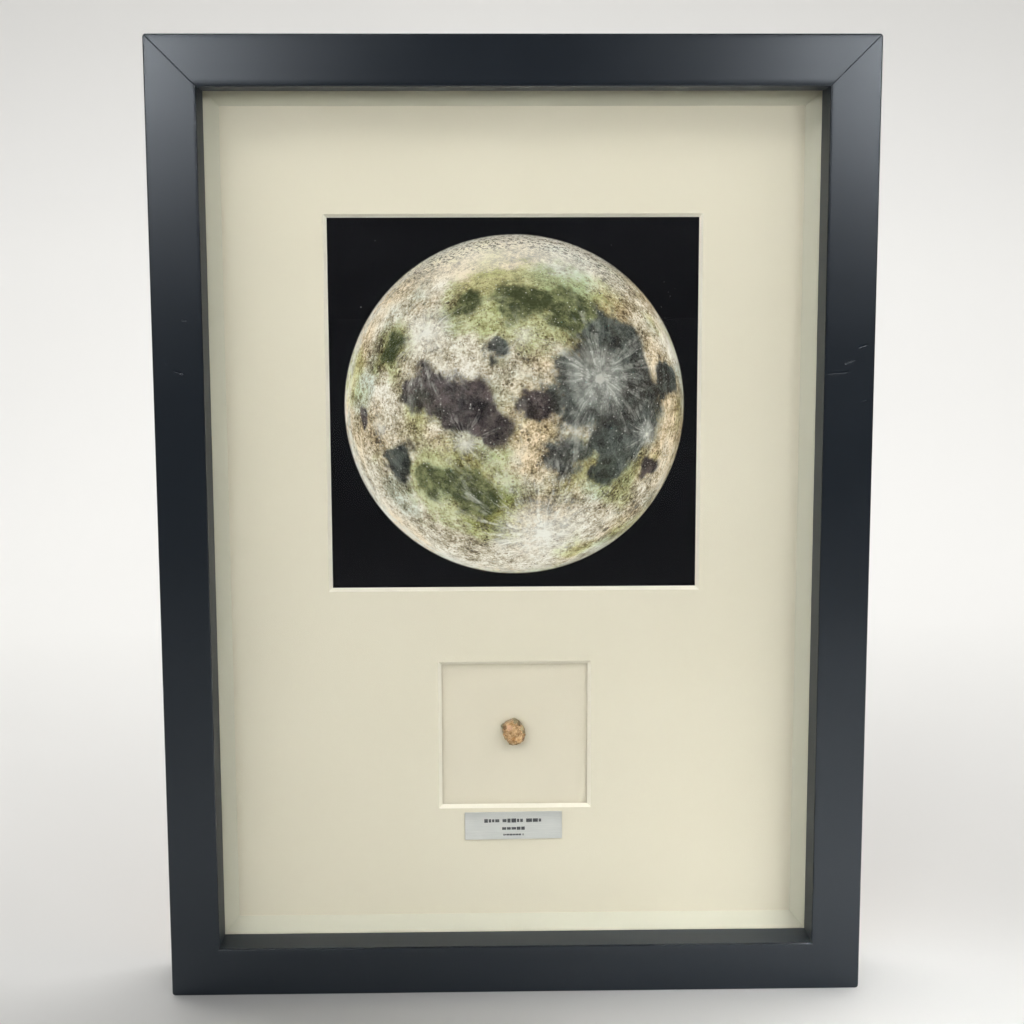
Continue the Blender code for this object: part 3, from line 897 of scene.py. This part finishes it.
def dash_boxes(front):
    """Middles and sizes of the dashes in every row."""
    boxes = []
    chance = random.Random(7)
    for height, width, tall in LABEL_ROWS:
        start = -width / 2
        while start < width / 2 - tall * 0.3:
            length = min(chance.uniform(0.5, 1.6) * tall, width / 2 - start)
            gap = tall * (0.75 if chance.random() < 0.12 else 0.2)
            size = (length, DASH_THICKNESS, tall * chance.uniform(0.7, 1.0))
            boxes.append(((start + length / 2, front - DASH_THICKNESS / 4, height), size))
            start += length + gap
    return boxes


def make_label(metal, ink):
    """The silver plate on the mat, with rows of plain dashes in place of words."""
    width, height = LABEL_SIZE
    thickness = MAT_LOW.y - LABEL_LOW.y - 2 * LABEL_CLEARANCE
    place = Matrix.Translation((LABEL_MIDDLE.x, 0, LABEL_MIDDLE.z))
    turn = place @ Matrix.Rotation(LABEL_TILT, 4, "Y")
    front = LABEL_LOW.y + LABEL_CLEARANCE
    plate_box = ((0, front + thickness / 2, 0), (width, thickness, height))
    plate = plate_mesh("label", [plate_box], LABEL_EDGE)
    bm = bmesh.new()
    bm.from_mesh(plate)
    long_edges = [e for e in bm.edges if e.calc_length() > width / 2]
    bmesh.ops.subdivide_edges(bm, edges=long_edges, cuts=40, use_grid_fill=True)
    for vertex in bm.verts:
        across, up = vertex.co.x / width, vertex.co.z / height
        vertex.co.y -= max(across + up - LABEL_CURL_START, 0.0) ** 2 * LABEL_CURL
    bm.to_mesh(plate)
    bm.free()
    plate.transform(turn)
    plate.materials.append(metal)
    link_piece("label", plate, "label_metal", "label_plate")
    dashes = plate_mesh("label_dashes", dash_boxes(front), 0.0)
    dashes.transform(turn)
    dashes.materials.append(ink)
    link_piece("label_dashes", dashes, "label_metal")


def grain_seam(spot):
    """0 in the middle of a grain and 1 on the seams between grains. Millimetres."""
    bent = spot + noise.noise_vector(spot * 0.9) * 0.45
    nearest, second = noise.voronoi(bent * 1.05)[0][:2]
    return math.exp(-(((second - nearest) / 0.13) ** 2))


def make_stone(material):
    """The stone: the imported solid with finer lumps, pits, and seams between its grains."""
    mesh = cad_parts["meteorite"].data.copy()
    mesh.name = "stone"
    bm = bmesh.new()
    bm.from_mesh(mesh)
    bmesh.ops.remove_doubles(bm, verts=bm.verts, dist=1e-6)
    bmesh.ops.subdivide_edges(bm, edges=bm.edges[:], cuts=4, use_grid_fill=True, smooth=0.6)
    bm.normal_update()
    # Without a seed, noise_vector would bend the seams another way in each run
    noise.seed_set(11)
    moved, seams, rims = [], [], []
    for vertex in bm.verts:
        spot = (vertex.co - STONE_MIDDLE) * 1000
        seam = grain_seam(spot) * min(max(noise.noise(spot * 0.55) * 2.2 + 0.75, 0.15), 1.0)
        lumps = noise.fractal(spot * 1.1, 1.0, 2.1, 4) * LUMP_HEIGHT
        pit = min(noise.noise(spot * 3.6 + Vector((0, 4.2, 0))) + 0.25, 0.0) * PIT_DEPTH
        moved.append(vertex.co + vertex.normal * (lumps + pit - seam * SEAM_DEPTH))
        seams.append(seam)
        rims.append(1.0 - abs(vertex.normal.y))
    for vertex, place in zip(bm.verts, moved):
        vertex.co = place
    bmesh.ops.recalc_face_normals(bm, faces=bm.faces)
    bm.to_mesh(mesh)
    bm.free()
    mesh.materials.clear()
    mesh.materials.append(material)
    mesh.shade_smooth()
    mesh.attributes.new("seam", "FLOAT", "POINT").data.foreach_set("value", seams)
    mesh.attributes.new("rim", "FLOAT", "POINT").data.foreach_set("value", rims)
    return link_piece("stone", mesh, "stone", "meteorite")


def spot_mask(g, local, ragged, across, up, size):
    """1 inside a coloured spot of the stone. Millimetres from the stone's middle."""
    x, z = local
    dx, dz = x - across, z - up
    away = (dx * dx + dz * dz) ** 0.5
    return (away / size + ragged).step(1.15, 0.70)


def tan_breccia():
    """Tan grains with brown seams, a few paler and darker spots and a grey-green rim."""
    g = Graph("tan_breccia", {"Specular IOR Level": 0.3})
    spot = g.scaled(g.vector("SUBTRACT", g.place, tuple(STONE_MIDDLE)), 1000.0)
    x, _, z = g.parts(spot)
    cloud = g.noise(spot, 0.8, 4, 0.6)
    grain = g.noise(spot, 3.2, 4, 0.7)
    ragged = (g.noise(spot, 1.8, 4, 0.65) - 0.5) * 1.3
    stone = g.mix(cloud.step(0.36, 0.64), srgb(184, 146, 98), srgb(218, 184, 140))
    stone = g.mix(grain.step(0.52, 0.68) * 0.6, stone, srgb(236, 212, 176))
    stone = g.mix(grain.step(0.47, 0.33) * 0.7, stone, srgb(150, 112, 68))
    stone = g.mix(g.attribute("seam") * (grain * 0.8 + 0.35).clamp(), stone, srgb(124, 88, 50))
    rim = (g.attribute("rim") + ragged * 0.25).step(0.55, 0.85)
    stone = g.mix(rim * 0.75, stone, g.mix(cloud, srgb(112, 106, 84), srgb(158, 150, 128)))
    for across, up, size, colour in STONE_SPOTS:
        stone = g.mix(spot_mask(g, (x, z), ragged, across, up, size) * 0.75, stone, colour)
    g.colour(stone)
    g.roughness(0.72 + grain * 0.2)
    g.bump(grain, 0.00006, 0.6)
    return g.material


def make_dust(name, places, front, material, slot):
    """Flecks of lint: flat lumps that lie on a face."""
    chance = random.Random(11)
    bm = bmesh.new()
    for x, z, size in places:
        half = size / 2000
        turn = Matrix.Rotation(chance.uniform(0, 3.1), 4, "Y")
        shape = Matrix.Diagonal((half, DUST_HALF_DEPTH, half * chance.uniform(0.5, 0.9), 1))
        place = Matrix.Translation((x / 1000, front, z / 1000))
        bmesh.ops.create_icosphere(bm, subdivisions=1, radius=1, matrix=place @ turn @ shape)
    mesh = bpy.data.meshes.new(name)
    bm.to_mesh(mesh)
    bm.free()
    mesh.materials.append(material)
    link_piece(name, mesh, slot)


def make_stage():
    """A plain pale floor that sweeps up behind the frame."""
    floor = bpy.data.meshes.new("floor")
    radius, back, top = 0.5, 1.1, 2.6
    wide, near = 8.0, -8.0
    bend = [(back - radius + y, radius + z) for y, z in arc((0, 0), radius, 270, 360, 24)]
    outline = [(near, 0.0), *bend, (back, top)]
    points = [(x, y, z) for y, z in outline for x in (-wide, wide)]
    faces = [(2 * i, 2 * i + 1, 2 * i + 3, 2 * i + 2) for i in range(len(outline) - 1)]
    floor.from_pydata(points, [], faces)
    floor.shade_smooth()
    obj = bpy.data.objects.new("floor", floor)
    bpy.context.scene.collection.objects.link(obj)
    g = Graph("pale_floor", {"Specular IOR Level": 0.2})
    g.colour(g.mix(g.noise(g.place, 3, 2), srgb(234, 233, 230), srgb(240, 239, 236)))
    g.roughness(0.75 + g.noise(g.place, 40, 2) * 0.1)
    floor.materials.append(g.material)


def area_light(name, place, target, size, power, spread=180):
    """A soft box that faces the target. A small spread in degrees keeps its light off the rest.

    The glass casts no shadow. A ray that meets the lamp by chance would add its light a second
    time behind the glass, so such rays are off.
    """
    data = bpy.data.lights.new(name, "AREA")
    data.shape = "RECTANGLE"
    data.size, data.size_y = size
    data.energy = power
    data.spread = math.radians(spread)
    data.cycles.use_multiple_importance_sampling = False
    lamp = bpy.data.objects.new(name, data)
    lamp.location = place
    lamp.visible_camera = False
    aim = Vector(target) - Vector(place)
    lamp.rotation_euler = aim.to_track_quat("-Z", "Y").to_euler()
    bpy.context.scene.collection.objects.link(lamp)


def make_light():
    """Two cards in front, soft boxes at the sides and above, and light on the floor behind."""
    world = bpy.data.worlds.new("soft_studio")
    world.use_nodes = True
    shade = world.node_tree.nodes["Background"]
    shade.inputs["Color"].default_value = (0.90, 0.95, 1.0, 1)
    shade.inputs["Strength"].default_value = 0.035
    bpy.context.scene.world = world
    middle, upper = (0, 0, MIDDLE_Z), (0, 0, 0.36)
    area_light("card_left", (-0.47, -1.40, 0.51), upper, (0.30, 0.18), 0.52, 90)
    area_light("card_right", (0.55, -1.40, 0.51), upper, (0.30, 0.18), 0.63, 90)
    area_light("soft_left", (-1.05, -0.80, 0.75), middle, (0.8, 0.8), 1.4)
    area_light("soft_right", (1.05, -0.80, 0.75), middle, (0.8, 0.8), 1.4)
    area_light("overhead", (-0.35, -1.00, 1.10), upper, (1.0, 0.5), 0.40, 50)
    area_light("pool_near", (0.25, -0.30, 0.45), (0.13, -0.10, 0.0), (0.12, 0.12), 0.05, 30)
    area_light("pool_far", (0.38, -0.55, 0.60), (0.21, -0.34, 0.0), (0.3, 0.3), 0.36, 50)
    area_light("backdrop", (0.0, 0.50, 1.90), (0, 0.95, 0.50), (2.4, 0.5), 18, 120)


def make_camera():
    """The photo's view."""
    data = bpy.data.cameras.new("camera")
    data.lens = CAMERA_LENS
    data.sensor_width = 36
    data.clip_start = 0.01
    camera = bpy.data.objects.new("camera", data)
    camera.location = CAMERA_PLACE
    camera.rotation_euler = [math.radians(turn) for turn in CAMERA_TURN]
    bpy.context.scene.collection.objects.link(camera)
    bpy.context.scene.camera = camera


def main():
    satin = painted_wood("satin_paint", 0.22, (0.0020, 0.0058, 0.0120), (0.0040, 0.0084, 0.0155))
    # The lip's inner wall: rougher paint, and a base colour several times lighter than the satin's,
    # which paints in the light the wall reflects from the mat.
    reveal_paint_painted_light = painted_wood("dull_paint_painted_light", 0.5, (0.018, 0.027, 0.038), (0.025, 0.035, 0.047))
    rail_materials = [satin, bare_wood(), reveal_paint_painted_light]
    cream = paper("liner_paper", srgb(199, 198, 179), srgb(214, 213, 194))
    for side in ("top", "bottom", "left", "right"):
        make_rail(side, rail_materials)
        make_liner(side, cream)
    glass = finish_node("glass_pane", clear_glass())
    glass.visible_shadow = False
    mat_paper = paper("mat_paper", srgb(222, 216, 192), srgb(232, 227, 206))
    mat_core = paper("mat_core", srgb(240, 236, 216), srgb(250, 246, 230))
    make_mat([mat_paper, mat_core])
    finish_node("backing_board", paper("board_paper", srgb(220, 213, 190), srgb(229, 223, 202)))
    finish_node("back_panel", fibreboard())
    finish_node("moon_print", moon_ink())
    make_label(label_metal(), label_ink())
    steel = zinc_steel()
    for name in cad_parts:
        if name.startswith(("point_", "hanger_", "sawtooth_")):
            finish_node(name, steel)
    make_stone(tan_breccia())
    lint = dust_fleck()
    make_dust("print_dust", PRINT_DUST, PRINT_LOW.y, lint, "print_paper")
    make_dust("rail_dust", RAIL_DUST, FRONT_Y + DUST_HALF_DEPTH, lint, "rail_paint")
    make_stage()
    make_light()
    make_camera()
    bpy.context.scene.view_settings.view_transform = "Standard"


main()
